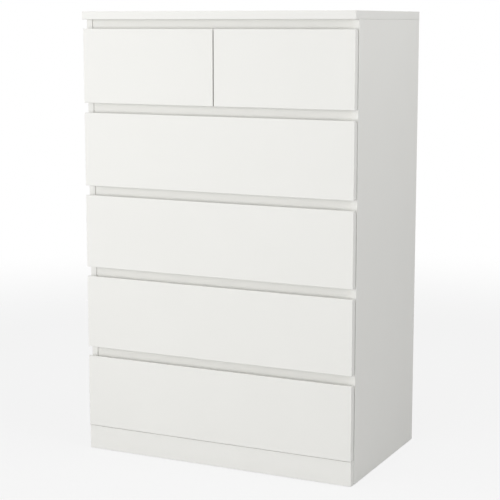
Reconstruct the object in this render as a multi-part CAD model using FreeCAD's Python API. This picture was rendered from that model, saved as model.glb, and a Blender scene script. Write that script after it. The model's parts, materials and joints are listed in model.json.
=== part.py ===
"""Tall chest with six drawers on roller runners: two small drawers side by side over four wide ones.

Millimetres. The origin is the centre of the footprint on the floor, +X is to the right as one faces the
drawers, +Y goes back to the wall and +Z is up, so the drawer fronts face -Y.
"""

import FreeCAD, Part
import math
import os

# Overall size
WIDTH = 800.0
DEPTH = 480.0
HEIGHT = 1230.0

# Carcass boards
TOP_T = 22.0
PANEL_T = 18.0
TOP_LIP = 0.5                # how far the top stands past each side panel
GLIDE_H = 2.0
RAIL_T = 16.0
RAIL_H = 50.0
TOP_RAIL_H = 36.0
RAIL_SETBACK = 2.0           # rails behind the front edges of the side panels
REAR_RAIL_Z = (10.0, 76.0)
PLINTH_T = 19.0
PLINTH_TOP = 68.5

# Drawer fronts
FRONT_T = 19.0
FRONT_H = 201.5
FRONT_HALF = 398.0
FRONT_SETBACK = 2.5          # front faces behind the front edge of the top
STANDOFF = 2.5               # air between a closed front and the side panels
ROW_PITCH = 228.0
FIRST_TOP = 1183.5           # upper edge of the top row of fronts
SMALL_GAP = 3.0              # between the two small fronts
GRIP_FLAT = 3.0              # flat strip along a front's upper edge
GRIP_DROP = 8.0              # how far the finger grip falls towards the back

# Drawer boxes
BOARD_T = 12.0
BOX_DEPTH = 400.0
BOX_LIFT = 24.0              # underside of the box above the lower edge of its front
BOX_H = 148.0
BACK_DROP = 4.0              # a drawer's back is this much lower than its sides
SHEET_T = 3.0
GROOVE_PLAY = 0.1
GROOVE_D = 6.0
BOTTOM_UP = 8.0              # drawer bottom above the underside of the drawer side

# Back of the carcass
BACK_INSET = 16.0
BACK_GROOVE_D = 8.0
BACK_LOW = 12.0
BACK_SPLIT = 637.0
STRIP_H = 22.0
STRIP_T = 1.5
LOOSE = 1.0                  # play at the ends of loosely fitted pieces

# Roller runners, in the gap between a drawer side and its panel
RUNNER_GAP = 12.5
STEEL = 1.2
ROLLER_R = 9.0
ROLLER_W = 6.0
ROLL_PLAY = 0.3
PIN_R = 3.0
PIN_PLAY = 0.05
HEAD_R = 4.5
HEAD_T = 1.0
TRACK_UP = 12.8              # underside of the drawer's track above the underside of the box
TRACK_CLEAR = 2.5            # between the track's edge and the wall
CHANNEL_LOW = 10.0           # cabinet channel, below and above the underside of the box
CHANNEL_HIGH = 24.0
CHANNEL_W = 9.5
CHANNEL_FRONT = 3.0          # behind the front edges of the side panels
CABINET_ROLLER_IN = 14.0     # roller axis behind the front end of its channel
DRAWER_ROLLER_IN = 16.5      # roller axis in front of the rear end of its drawer side

# Fittings
CAM_R = 7.5
CAM_D = 13.0
CAM_INSET = 34.0
CAM_SLOT = (9.0, 1.6, 1.5)   # length, width, depth
SIDE_CAM_Y = 170.0           # cams under the top, in front of and behind the middle
DIVIDER_CAM_Y = 120.0
BOLT_R = 3.5
BOLT_REACH = 11.0
FIT_PLAY = 0.1
GLIDE_R = 7.5
GLIDE_PIN_R = 1.2
GLIDE_PIN_L = 12.0
GLIDE_Y = (-188.0, 212.0)
BRACKET_X = 195.0
BRACKET_W = 30.0
BRACKET_LEG = 40.0
BRACKET_T = 2.0
WALL_HOLE_R = 2.75
BACK_HOLE_R = 4.5
WALL_HOLE_DOWN = 24.0
SCREW_HOLE_R = 2.25
SCREW_APART = 16.0
SCREW_IN = 24.0              # bracket screws in front of the back sheet

# Places worked out from the sizes above
HALF_W = WIDTH / 2
FRONT_Y = -DEPTH / 2
REAR_Y = DEPTH / 2
UNDER_TOP = HEIGHT - TOP_T
SIDE_OUT = HALF_W - TOP_LIP
SIDE_IN = SIDE_OUT - PANEL_T
FACE_Y = FRONT_Y + FRONT_SETBACK
FRONT_BACK_Y = FACE_Y + FRONT_T
EDGE_Y = FRONT_BACK_Y + STANDOFF
RAIL_Y = EDGE_Y + RAIL_SETBACK
RAIL_BACK_Y = RAIL_Y + RAIL_T
BACK_OUT_Y = REAR_Y - BACK_INSET
BACK_IN_Y = BACK_OUT_Y - SHEET_T
CHANNEL_Y = EDGE_Y + CHANNEL_FRONT
DRAWER_ROLLER_Y = FRONT_BACK_Y + BOX_DEPTH - DRAWER_ROLLER_IN
CABINET_ROLLER_Y = CHANNEL_Y + CABINET_ROLLER_IN
HALF_DIVIDER = PANEL_T / 2

X = FreeCAD.Vector(1, 0, 0)
Y = FreeCAD.Vector(0, 1, 0)
Z = FreeCAD.Vector(0, 0, 1)


def box(x0, x1, y0, y1, z0, z1):
    return Part.makeBox(x1 - x0, y1 - y0, z1 - z0, FreeCAD.Vector(x0, y0, z0))


def rod(radius, start, direction, length):
    return Part.makeCylinder(radius, length, FreeCAD.Vector(*start), direction)


def save(name, *solids):
    shape = solids[0] if len(solids) == 1 else Part.makeCompound(list(solids))
    shape.exportStep("parts/" + name + ".step")


def row_bottom(row):
    return FIRST_TOP - row * ROW_PITCH - FRONT_H


def rail_bottom(row):
    """Lower edge of the cross rail that closes the gap under a row of fronts."""
    middle = row_bottom(row) - (ROW_PITCH - FRONT_H) / 2
    return middle - RAIL_H / 2


# Each drawer: name, row, ends of its front, and the faces its runners are fixed to
DRAWERS = (
    ("top_left_drawer", 0, -FRONT_HALF, -SMALL_GAP / 2, -SIDE_IN, -HALF_DIVIDER),
    ("top_right_drawer", 0, SMALL_GAP / 2, FRONT_HALF, HALF_DIVIDER, SIDE_IN),
    ("second_drawer", 1, -FRONT_HALF, FRONT_HALF, -SIDE_IN, SIDE_IN),
    ("third_drawer", 2, -FRONT_HALF, FRONT_HALF, -SIDE_IN, SIDE_IN),
    ("fourth_drawer", 3, -FRONT_HALF, FRONT_HALF, -SIDE_IN, SIDE_IN),
    ("bottom_drawer", 4, -FRONT_HALF, FRONT_HALF, -SIDE_IN, SIDE_IN),
)

RAILS = (
    ("top_front_rail", UNDER_TOP - TOP_RAIL_H, UNDER_TOP),
    ("cross_rail_1", rail_bottom(0), rail_bottom(0) + RAIL_H),
    ("cross_rail_2", rail_bottom(1), rail_bottom(1) + RAIL_H),
    ("cross_rail_3", rail_bottom(2), rail_bottom(2) + RAIL_H),
    ("cross_rail_4", rail_bottom(3), rail_bottom(3) + RAIL_H),
)


def cam_locks():
    """Every cam lock: the board that holds the cam, the board its bolt screws into, the centre of the
    cam on its board's face, the way the cam goes in, the way the bolt points, and the bolt's start."""
    locks = []
    for side, panel in ((-1, "left_side_panel"), (1, "right_side_panel")):
        end = side * (SIDE_IN - CAM_INSET)
        mid = RAIL_T / 2
        for name, low, high in RAILS:
            at = (end, RAIL_BACK_Y, (low + high) / 2)
            locks.append((name, panel, at, Y * -1, X * side, (end, RAIL_BACK_Y - mid, at[2])))
        rear = BACK_IN_Y - RAIL_T
        at = (end, rear, sum(REAR_RAIL_Z) / 2)
        locks.append(("rear_base_rail", panel, at, Y, X * side, (end, rear + mid, at[2])))
        centre = side * (SIDE_IN + PANEL_T / 2)
        for y in (-SIDE_CAM_Y, SIDE_CAM_Y):
            at = (side * SIDE_IN, y, UNDER_TOP - CAM_INSET)
            locks.append((panel, "top_panel", at, X * side, Z, (centre, y, at[2])))
        at = (side * SIDE_IN, EDGE_Y + CAM_INSET, GLIDE_H + (PLINTH_TOP - GLIDE_H) / 2)
        locks.append((panel, "plinth_front", at, X * side, Y * -1, (centre, at[1], at[2])))
    for y in (-DIVIDER_CAM_Y, DIVIDER_CAM_Y):
        at = (HALF_DIVIDER, y, UNDER_TOP - CAM_INSET)
        locks.append(("centre_divider", "top_panel", at, X * -1, Z, (0.0, y, at[2])))
    return locks


LOCKS = cam_locks()


def drilled(name, shape):
    """The board with its cam holes and bolt holes. A bolt hole starts inside its cam's hole."""
    for holder, mate, at, into, along, start in LOCKS:
        if name not in (holder, mate):
            continue
        centre = FreeCAD.Vector(*start)
        if name == holder:
            shape = shape.cut(rod(CAM_R, at, into, CAM_D))
        inside = CAM_R / 2
        hole = Part.makeCylinder(BOLT_R, CAM_INSET + BOLT_REACH - inside, centre + along * inside, along)
        shape = shape.cut(hole)
    return shape


def cam(at, into):
    """A cam with the screwdriver slot across its face."""
    body = rod(CAM_R - FIT_PLAY, at, into, CAM_D - FIT_PLAY)
    length, width, depth = CAM_SLOT
    long_way = Z if abs(into.z) < 0.5 else X
    wide_way = into.cross(long_way)
    corner = FreeCAD.Vector(*at) - long_way * (length / 2) - wide_way * (width / 2)
    corners = [corner, corner + long_way * length, corner + long_way * length + wide_way * width,
               corner + wide_way * width, corner]
    slot = Part.Face(Part.makePolygon(corners)).extrude(into * depth)
    return body.cut(slot)


def make_cam_locks():
    solids = []
    first = CAM_R + FIT_PLAY
    length = CAM_INSET + BOLT_REACH - first - FIT_PLAY
    for holder, mate, at, into, along, start in LOCKS:
        centre = FreeCAD.Vector(*start)
        solids.append(cam(at, into))
        solids.append(Part.makeCylinder(BOLT_R - FIT_PLAY, length, centre + along * first, along))
    save("cam_locks", *solids)


def make_top_panel():
    panel = box(-HALF_W, HALF_W, FRONT_Y, REAR_Y, UNDER_TOP, HEIGHT)
    reach = SIDE_IN + BACK_GROOVE_D
    groove = box(-reach, reach, BACK_IN_Y - GROOVE_PLAY, BACK_OUT_Y + GROOVE_PLAY,
                 UNDER_TOP, UNDER_TOP + BACK_GROOVE_D)
    save("top_panel", drilled("top_panel", panel.cut(groove)))


def make_side_panel(name, side):
    inner, outer = sorted((side * SIDE_IN, side * SIDE_OUT))
    panel = box(inner, outer, EDGE_Y, REAR_Y, GLIDE_H, UNDER_TOP)
    inside, deep = sorted((side * SIDE_IN, side * (SIDE_IN + BACK_GROOVE_D)))
    groove = box(inside, deep, BACK_IN_Y - GROOVE_PLAY, BACK_OUT_Y + GROOVE_PLAY,
                 GLIDE_H, UNDER_TOP)
    panel = panel.cut(groove)
    for y in GLIDE_Y:
        centre = side * (SIDE_IN + PANEL_T / 2)
        hole = rod(GLIDE_PIN_R, (centre, y, GLIDE_H), Z, GLIDE_PIN_L)
        panel = panel.cut(hole)
    save(name, drilled(name, panel))


def make_rails():
    for name, low, high in RAILS:
        rail = box(-SIDE_IN, SIDE_IN, RAIL_Y, RAIL_BACK_Y, low, high)
        save(name, drilled(name, rail))


def make_rear_base_rail():
    low, high = REAR_RAIL_Z
    rail = box(-SIDE_IN, SIDE_IN, BACK_IN_Y - RAIL_T, BACK_IN_Y, low, high)
    save("rear_base_rail", drilled("rear_base_rail", rail))


def make_plinth():
    plinth = box(-FRONT_HALF, FRONT_HALF, EDGE_Y - PLINTH_T, EDGE_Y, GLIDE_H, PLINTH_TOP)
    save("plinth_front", drilled("plinth_front", plinth))


def make_divider():
    """The upright between the small drawers, notched over the two rails it stands behind."""
    low = rail_bottom(0)
    divider = box(-HALF_DIVIDER, HALF_DIVIDER, RAIL_Y, BACK_IN_Y, low, UNDER_TOP)
    for name, rail_low, rail_high in RAILS[:2]:
        notch = box(-PANEL_T, PANEL_T, RAIL_Y, RAIL_BACK_Y, rail_low, rail_high)
        divider = divider.cut(notch)
    save("centre_divider", drilled("centre_divider", divider))


def make_back_panels():
    """Two hardboard sheets in the side grooves, held edge to edge by an H-shaped strip."""
    half = SIDE_IN + BACK_GROOVE_D - LOOSE
    top = UNDER_TOP + BACK_GROOVE_D - LOOSE
    web = STRIP_T / 2
    lower = box(-half, half, BACK_IN_Y, BACK_OUT_Y, BACK_LOW, BACK_SPLIT - web)
    upper = box(-half, half, BACK_IN_Y, BACK_OUT_Y, BACK_SPLIT + web, top)
    for side in (-1, 1):
        at = (side * BRACKET_X, BACK_IN_Y, UNDER_TOP - WALL_HOLE_DOWN)
        upper = upper.cut(rod(BACK_HOLE_R, at, Y, SHEET_T))
    save("back_panel_lower", lower)
    save("back_panel_upper", upper)
    reach = SIDE_IN - LOOSE
    front_flange = box(-reach, reach, BACK_IN_Y - STRIP_T, BACK_IN_Y,
                       BACK_SPLIT - STRIP_H / 2, BACK_SPLIT + STRIP_H / 2)
    rear_flange = front_flange.translated(Y * (SHEET_T + STRIP_T))
    middle = box(-reach, reach, BACK_IN_Y, BACK_OUT_Y, BACK_SPLIT - web, BACK_SPLIT + web)
    save("back_joining_strip", front_flange.fuse([middle, rear_flange]).removeSplitter())


def make_glides():
    solids = []
    for side in (-1, 1):
        for y in GLIDE_Y:
            centre = side * (SIDE_IN + PANEL_T / 2)
            disc = rod(GLIDE_R, (centre, y, 0.0), Z, GLIDE_H)
            pin = rod(GLIDE_PIN_R - FIT_PLAY, (centre, y, GLIDE_H), Z, GLIDE_PIN_L - LOOSE)
            solids.append(disc.fuse(pin))
    save("floor_glides", *solids)


def make_wall_brackets():
    """Two steel angles under the top: a screw goes through each, and the back, into the wall."""
    solids = []
    low = UNDER_TOP - BRACKET_LEG
    for side in (-1, 1):
        x0 = side * BRACKET_X - BRACKET_W / 2
        x1 = x0 + BRACKET_W
        upright = box(x0, x1, BACK_IN_Y - BRACKET_T, BACK_IN_Y, low, UNDER_TOP)
        flat = box(x0, x1, BACK_IN_Y - BRACKET_LEG, BACK_IN_Y, UNDER_TOP - BRACKET_T, UNDER_TOP)
        bracket = upright.fuse(flat).removeSplitter()
        wall = (side * BRACKET_X, BACK_IN_Y - BRACKET_T, UNDER_TOP - WALL_HOLE_DOWN)
        bracket = bracket.cut(rod(WALL_HOLE_R, wall, Y, BRACKET_T))
        for offset in (-SCREW_APART / 2, SCREW_APART / 2):
            screw = (side * BRACKET_X + offset, BACK_IN_Y - SCREW_IN, UNDER_TOP - BRACKET_T)
            bracket = bracket.cut(rod(SCREW_HOLE_R, screw, Z, BRACKET_T))
        solids.append(bracket)
    save("wall_brackets", *solids)


def front_profile(x, bottom):
    """Section of a drawer front: square below, with the finger grip rounding down behind its top."""
    top = bottom + FRONT_H
    run = FRONT_T - GRIP_FLAT
    radius = (run ** 2 + GRIP_DROP ** 2) / (2 * GRIP_DROP)
    turn = math.asin(run / radius) / 2
    start = FreeCAD.Vector(x, FACE_Y + GRIP_FLAT, top)
    middle = FreeCAD.Vector(x, start.y + radius * math.sin(turn), top - radius * (1 - math.cos(turn)))
    end = FreeCAD.Vector(x, FRONT_BACK_Y, top - GRIP_DROP)
    grip = Part.Arc(start, middle, end).toShape()
    outline = Part.makePolygon([
        end,
        FreeCAD.Vector(x, FRONT_BACK_Y, bottom),
        FreeCAD.Vector(x, FACE_Y, bottom),
        FreeCAD.Vector(x, FACE_Y, top),
        start,
    ])
    return Part.Face(Part.Wire(Part.__sortEdges__([grip] + outline.Edges)))


def sheet_level(bottom):
    return bottom + BOX_LIFT + BOTTOM_UP


def make_front(name, bottom, x0, x1, inner0, inner1):
    front = front_profile(x0, bottom).extrude(X * (x1 - x0))
    level = sheet_level(bottom)
    groove = box(inner0 - GROOVE_D, inner1 + GROOVE_D, FRONT_BACK_Y - GROOVE_D, FRONT_BACK_Y,
                 level - GROOVE_PLAY, level + SHEET_T + GROOVE_PLAY)
    save(name + "_front", front.cut(groove))


def make_box(name, bottom, outer0, outer1):
    """The two sides, the back and the bottom sheet of one drawer."""
    low = bottom + BOX_LIFT
    high = low + BOX_H
    rear = FRONT_BACK_Y + BOX_DEPTH
    inner0 = outer0 + BOARD_T
    inner1 = outer1 - BOARD_T
    level = sheet_level(bottom)
    groove = box(inner0 - GROOVE_D, inner1 + GROOVE_D, FRONT_BACK_Y, rear,
                 level - GROOVE_PLAY, level + SHEET_T + GROOVE_PLAY)
    left = box(outer0, inner0, FRONT_BACK_Y, rear, low, high).cut(groove)
    right = box(inner1, outer1, FRONT_BACK_Y, rear, low, high).cut(groove)
    save(name + "_sides", left, right)
    above = level + SHEET_T
    save(name + "_back", box(inner0, inner1, rear - BOARD_T, rear, above, high - BACK_DROP))
    reach = GROOVE_D - GROOVE_PLAY
    save(name + "_bottom", box(inner0 - reach, inner1 + reach, FRONT_BACK_Y - reach, rear,
                               level, above))


def drawer_runner(wall, hand, low):
    """The drawer's half of a runner: an angle round the lower corner of the drawer side, a track that
    stands out over the cabinet roller, and the pin of the rear roller. hand is +1 where the drawer
    side's panel is to the right."""
    skin = wall - hand * RUNNER_GAP
    rear = FRONT_BACK_Y + BOX_DEPTH
    face = skin + hand * STEEL
    under0, under1 = sorted((skin - hand * BOARD_T, face))
    under = box(under0, under1, FRONT_BACK_Y, rear, low - STEEL, low)
    web0, web1 = sorted((skin, face))
    web = box(web0, web1, FRONT_BACK_Y, rear, low, low + TRACK_UP + STEEL)
    track0, track1 = sorted((face, wall - hand * TRACK_CLEAR))
    track = box(track0, track1, FRONT_BACK_Y, rear, low + TRACK_UP, low + TRACK_UP + STEEL)
    height = low - CHANNEL_LOW + STEEL + ROLL_PLAY + ROLLER_R
    head_at = ROLLER_W + 2 * ROLL_PLAY
    pin = rod(PIN_R, (face, DRAWER_ROLLER_Y, height), X * hand, head_at + HEAD_T)
    head = rod(HEAD_R, (face + hand * head_at, DRAWER_ROLLER_Y, height), X * hand, HEAD_T)
    return under.fuse([web, track, pin, head]).removeSplitter()


def cabinet_runner(wall, hand, low):
    """The cabinet's half of a runner: a channel that the drawer's rear roller runs in, with the pin of
    the roller at its front end."""
    lip = wall - hand * CHANNEL_W
    back0, back1 = sorted((wall - hand * STEEL, wall))
    web = box(back0, back1, CHANNEL_Y, CHANNEL_Y + BOX_DEPTH, low - CHANNEL_LOW, low + CHANNEL_HIGH)
    edge0, edge1 = sorted((lip, wall))
    floor = box(edge0, edge1, CHANNEL_Y, CHANNEL_Y + BOX_DEPTH, low - CHANNEL_LOW,
                low - CHANNEL_LOW + STEEL)
    roof = floor.translated(Z * (CHANNEL_HIGH + CHANNEL_LOW - STEEL))
    face = wall - hand * STEEL
    height = low + TRACK_UP - ROLL_PLAY - ROLLER_R
    head_at = ROLLER_W + 2 * ROLL_PLAY
    pin = rod(PIN_R, (face, CABINET_ROLLER_Y, height), X * -hand, head_at + HEAD_T)
    head = rod(HEAD_R, (face - hand * head_at, CABINET_ROLLER_Y, height), X * -hand, HEAD_T)
    return web.fuse([floor, roof, pin, head]).removeSplitter()


def roller(x0, y, z):
    wheel = rod(ROLLER_R, (x0, y, z), X, ROLLER_W)
    bore = rod(PIN_R + PIN_PLAY, (x0, y, z), X, ROLLER_W)
    return wheel.cut(bore)


def make_rollers(name, low, wall0, wall1):
    """The rear rollers on the drawer, and the front rollers in the cabinet that it rests on."""
    on_drawer = RUNNER_GAP - STEEL - ROLL_PLAY
    height = low - CHANNEL_LOW + STEEL + ROLL_PLAY + ROLLER_R
    left = roller(wall0 + on_drawer - ROLLER_W, DRAWER_ROLLER_Y, height)
    right = roller(wall1 - on_drawer, DRAWER_ROLLER_Y, height)
    save(name + "_rollers", left, right)
    in_cabinet = STEEL + ROLL_PLAY
    height = low + TRACK_UP - ROLL_PLAY - ROLLER_R
    left = roller(wall0 + in_cabinet, CABINET_ROLLER_Y, height)
    right = roller(wall1 - in_cabinet - ROLLER_W, CABINET_ROLLER_Y, height)
    save(name + "_cabinet_rollers", left, right)


def make_drawers():
    channels = []
    for name, row, x0, x1, wall0, wall1 in DRAWERS:
        bottom = row_bottom(row)
        low = bottom + BOX_LIFT
        outer0 = wall0 + RUNNER_GAP
        outer1 = wall1 - RUNNER_GAP
        make_front(name, bottom, x0, x1, outer0 + BOARD_T, outer1 - BOARD_T)
        make_box(name, bottom, outer0, outer1)
        save(name + "_runners", drawer_runner(wall0, -1, low), drawer_runner(wall1, 1, low))
        make_rollers(name, low, wall0, wall1)
        channels.append(cabinet_runner(wall0, -1, low))
        channels.append(cabinet_runner(wall1, 1, low))
    save("cabinet_runners", *channels)


def main():
    os.makedirs("parts", exist_ok=True)
    make_top_panel()
    make_side_panel("left_side_panel", -1)
    make_side_panel("right_side_panel", 1)
    make_rails()
    make_rear_base_rail()
    make_plinth()
    make_divider()
    make_back_panels()
    make_glides()
    make_wall_brackets()
    make_cam_locks()
    make_drawers()


main()
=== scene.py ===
# %% [markdown]
# # A tall white chest of drawers
#
# Two small drawers stand side by side over four wide ones, in a carcass of foiled white boards. The packed
# model fixes every size, place and joint. This file dresses it: each cell makes one kind of board or
# fitting at the place that the model gives, with eased edges, grooves and holes, and a finish made only of
# shader nodes. Lengths are metres; +X is to the right as one faces the drawers, +Y goes back to the wall
# and +Z is up.

# %% Load the frame
import json
import math

import bmesh
import bpy
from mathutils import Matrix, Vector

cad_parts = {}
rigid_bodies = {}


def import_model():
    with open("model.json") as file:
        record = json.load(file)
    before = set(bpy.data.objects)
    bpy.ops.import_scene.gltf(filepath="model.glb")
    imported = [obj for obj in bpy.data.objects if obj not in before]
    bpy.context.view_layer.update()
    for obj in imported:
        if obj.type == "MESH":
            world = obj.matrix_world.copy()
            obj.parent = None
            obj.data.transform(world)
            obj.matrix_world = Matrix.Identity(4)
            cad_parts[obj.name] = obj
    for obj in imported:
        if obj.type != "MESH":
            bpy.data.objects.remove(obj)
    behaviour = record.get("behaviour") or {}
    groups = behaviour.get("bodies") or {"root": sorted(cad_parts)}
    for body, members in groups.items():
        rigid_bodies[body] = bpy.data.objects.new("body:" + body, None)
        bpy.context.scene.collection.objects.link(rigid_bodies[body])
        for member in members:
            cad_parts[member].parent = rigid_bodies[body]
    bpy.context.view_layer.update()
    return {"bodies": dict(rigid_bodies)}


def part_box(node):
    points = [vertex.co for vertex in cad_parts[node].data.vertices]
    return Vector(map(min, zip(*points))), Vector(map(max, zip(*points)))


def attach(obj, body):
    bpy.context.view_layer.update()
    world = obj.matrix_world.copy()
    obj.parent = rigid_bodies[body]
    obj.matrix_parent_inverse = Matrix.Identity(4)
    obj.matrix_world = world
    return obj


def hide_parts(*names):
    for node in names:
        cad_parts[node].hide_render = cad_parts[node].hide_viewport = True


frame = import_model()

MM = 0.001
X, Y, Z = Vector((1, 0, 0)), Vector((0, 1, 0)), Vector((0, 0, 1))

# %% [markdown]
# ## The camera
#
# The chest is seen from its right, a little above its middle, with a long lens that keeps the uprights
# nearly parallel. Most of the framing comes from the tilt, and only a sliver of it from the lens shift,
# because every other view keeps the shift and still has to hold the whole chest.

# %% Camera
EYE = Vector((1.682, -3.498, 1.199))
YAW = math.radians(25.78)
PITCH = math.radians(8.65)
LENS = 100.4
SHIFT = -0.03

camera = bpy.data.objects.new("camera", bpy.data.cameras.new("camera"))
camera.data.lens = LENS
camera.data.shift_y = SHIFT
camera.location = EYE
camera.rotation_euler = (math.pi / 2 - PITCH, 0.0, YAW)
bpy.context.scene.collection.objects.link(camera)
bpy.context.scene.camera = camera
print("camera", round(EYE.length, 2), "m from the chest's foot")

# %% [markdown]
# ## Shader arithmetic
#
# A finish is a small formula: a white that drifts a little, a roughness with some grain in it, a bump.
# Wiring such a formula node by node hides it, so one class stands for a socket and turns +, - and * into
# Math nodes, and another adds any other node from its type, its settings and its inputs.

# %% Signals and finishes
class Signal:
    """An output socket of a finish. Arithmetic on it adds Math nodes."""

    def __init__(self, finish, socket):
        self.finish = finish
        self.socket = socket

    def math(self, operation, first, second):
        return self.finish.node("Math", {"operation": operation}, {0: first, 1: second})

    def __add__(self, other):
        return self.math("ADD", self, other)

    def __sub__(self, other):
        return self.math("SUBTRACT", self, other)

    def __rsub__(self, other):
        return self.math("SUBTRACT", other, self)

    def __mul__(self, other):
        return self.math("MULTIPLY", self, other)

    __radd__ = __add__
    __rmul__ = __mul__


class Finish:
    """The nodes of a material, or of the world."""

    def __init__(self, owner):
        owner.use_nodes = True
        self.owner = owner
        self.tree = owner.node_tree
        self.tree.nodes.clear()

    def node(self, kind, settings=None, inputs=None, output=0):
        made = self.tree.nodes.new("ShaderNode" + kind)
        for key, value in (settings or {}).items():
            setattr(made, key, value)
        for key, value in (inputs or {}).items():
            if isinstance(value, Signal):
                self.tree.links.new(value.socket, made.inputs[key])
            else:
                made.inputs[key].default_value = value
        return None if output is None else Signal(self, made.outputs[output])

    def noise(self, per_metre, detail=2.0, stretch=(1.0, 1.0, 1.0)):
        """Soft random mottling, from 0 to 1, with so many blots to the metre."""
        place = self.node("TexCoord", output="Object")
        place = self.node("Mapping", inputs={"Vector": place, "Scale": stretch})
        return self.node("TexNoise", inputs={"Vector": place, "Scale": per_metre, "Detail": detail})

    def blend(self, amount, first, second):
        """A colour between two others."""
        return self.node("Mix", {"data_type": "RGBA"}, {0: amount, 6: first, 7: second}, 2)

    def bump(self, height, depth):
        return self.node("Bump", inputs={"Strength": 1.0, "Distance": depth, "Height": height})

    def surface(self, **inputs):
        """The principled shader that ends every finish. Underscores in the names stand for spaces."""
        named = {key.replace("_", " "): value for key, value in inputs.items()}
        return self.end(self.node("BsdfPrincipled", inputs=named))

    def end(self, shader, kind="Material"):
        self.node("Output" + kind, inputs={"Surface": shader}, output=None)
        return self.owner


def grey(value, warmth=0.0):
    """An off-white or grey; warmth takes a little blue out of it."""
    return (value, value * (1 - warmth * 0.1), value * (1 - warmth), 1.0)


print("arithmetic ready")

# %% [markdown]
# ## White foil
#
# The carcass and the fronts are particleboard and fibreboard wrapped in satin white foil. Foil is not
# perfectly flat: the board's chips telegraph through it as a slow waviness, and it is embossed with a very
# fine orange peel that softens its gloss. Narrow edges carry a strip of edge banding, a touch smoother than
# the faces. An attribute named edging marks those faces, so that one material serves the whole board.

# %% The foil
def white_foil():
    finish = Finish(bpy.data.materials.new("white_foil"))
    edging = finish.node("Attribute", {"attribute_name": "edging"}, output="Fac")
    slow = finish.noise(7.0, 1.0)
    chips = finish.noise(90.0, 2.0)
    fine = finish.noise(900.0, 2.0)
    tone = slow * 0.55 + fine * 0.45
    face = finish.blend(tone, grey(0.815, 0.042), grey(0.845, 0.038))
    colour = finish.blend(edging, face, grey(0.825, 0.038))
    gloss = 0.36 + chips * 0.05 + fine * 0.06 - edging * 0.05
    relief = slow * 0.6 + chips * 0.10 + fine * 0.05 * (1 - edging)
    return finish.surface(Base_Color=colour, Roughness=gloss, IOR=1.48, Normal=finish.bump(relief, 0.25 * MM))


FOIL = white_foil()
print("finish", FOIL.name)

# %% [markdown]
# ## The other finishes
#
# Inside, a drawer is made of thinner board in matt paper foil with a faint linen emboss, over a lacquered
# hardboard bottom. Hardboard keeps its raw brown face, pressed with the pattern of the wire screen it was
# made on, on the side that nobody sees. Runners are powder coated, which leaves a fine orange peel; screws
# and cams are zinc plated; the rollers are moulded nylon and the glides a plainer moulded plastic.

# %% Paper foil, hardboard, steel and plastic
def drawer_board():
    finish = Finish(bpy.data.materials.new("drawer_board"))
    place = finish.node("TexCoord", output="Object")
    threads = [
        finish.node("TexWave", {"bands_direction": way}, {"Vector": place, "Scale": 260.0, "Distortion": 1.5})
        for way in "YZ"
    ]
    linen = threads[0] * 0.5 + threads[1] * 0.5
    cloud = finish.noise(14.0)
    colour = finish.blend(cloud * 0.6 + linen * 0.4, grey(0.785, 0.03), grey(0.825, 0.03))
    return finish.surface(Base_Color=colour, Roughness=0.5 + linen * 0.1,
                          Normal=finish.bump(linen, 0.012 * MM))


def hardboard():
    finish = Finish(bpy.data.materials.new("white_hardboard"))
    raw = finish.node("Attribute", {"attribute_name": "raw"}, output="Fac")
    place = finish.node("TexCoord", output="Object")
    screen = [
        finish.node("TexWave", {"bands_direction": way}, {"Vector": place, "Scale": 150.0, "Distortion": 0.6})
        for way in "XZ"
    ]
    weave = screen[0] * screen[1]
    fibres = finish.noise(220.0, 5.0, (1.0, 1.0, 0.45))
    cloud = finish.noise(9.0, 3.0)
    lacquer = finish.blend(cloud, grey(0.775, 0.03), grey(0.81, 0.03))
    fibre_tone = fibres * 0.65 + cloud * 0.35
    bare = finish.blend(fibre_tone, (0.235, 0.140, 0.075, 1.0), (0.440, 0.290, 0.175, 1.0))
    bare = finish.blend(weave * 0.35, bare, (0.20, 0.12, 0.065, 1.0))
    colour = finish.blend(raw, lacquer, bare)
    relief = raw * (weave * 0.8 + fibres * 0.5) + (1 - raw) * fibres * 0.08
    roughness = 0.42 + raw * 0.34 + fibres * 0.06
    return finish.surface(Base_Color=colour, Roughness=roughness, Normal=finish.bump(relief, 0.12 * MM))


def coated_steel():
    finish = Finish(bpy.data.materials.new("white_coated_steel"))
    peel = finish.noise(520.0, 1.5)
    cloud = finish.noise(20.0)
    colour = finish.blend(cloud * 0.5 + peel * 0.5, grey(0.77, 0.03), grey(0.82, 0.03))
    return finish.surface(Base_Color=colour, Roughness=0.34 + peel * 0.14,
                          Normal=finish.bump(peel, 0.03 * MM))


def zinc():
    finish = Finish(bpy.data.materials.new("zinc_steel"))
    spangle = finish.noise(420.0, 3.0)
    scuffs = finish.noise(900.0, 2.0, (1.0, 1.0, 0.15))
    colour = finish.blend(spangle, (0.52, 0.53, 0.55, 1.0), (0.70, 0.70, 0.69, 1.0))
    roughness = 0.24 + spangle * 0.14 + scuffs * 0.1
    return finish.surface(Base_Color=colour, Metallic=1.0, Roughness=roughness,
                          Normal=finish.bump(scuffs, 0.01 * MM))


def moulded(name, low, high, roughness):
    finish = Finish(bpy.data.materials.new(name))
    grain = finish.noise(1500.0, 2.0)
    flow = finish.noise(60.0, 1.0, (1.0, 1.0, 0.3))
    colour = finish.blend(flow * 0.7 + grain * 0.3, grey(low, 0.035), grey(high, 0.03))
    return finish.surface(Base_Color=colour, Roughness=roughness + grain * 0.1,
                          Normal=finish.bump(grain, 0.015 * MM))


BOARD = drawer_board()
HARDBOARD = hardboard()
STEEL = coated_steel()
ZINC = zinc()
PLASTIC = moulded("white_plastic", 0.80, 0.85, 0.42)
NYLON = moulded("nylon", 0.83, 0.89, 0.30)
print("finishes", [m.name for m in (BOARD, HARDBOARD, STEEL, ZINC, PLASTIC, NYLON)])

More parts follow.
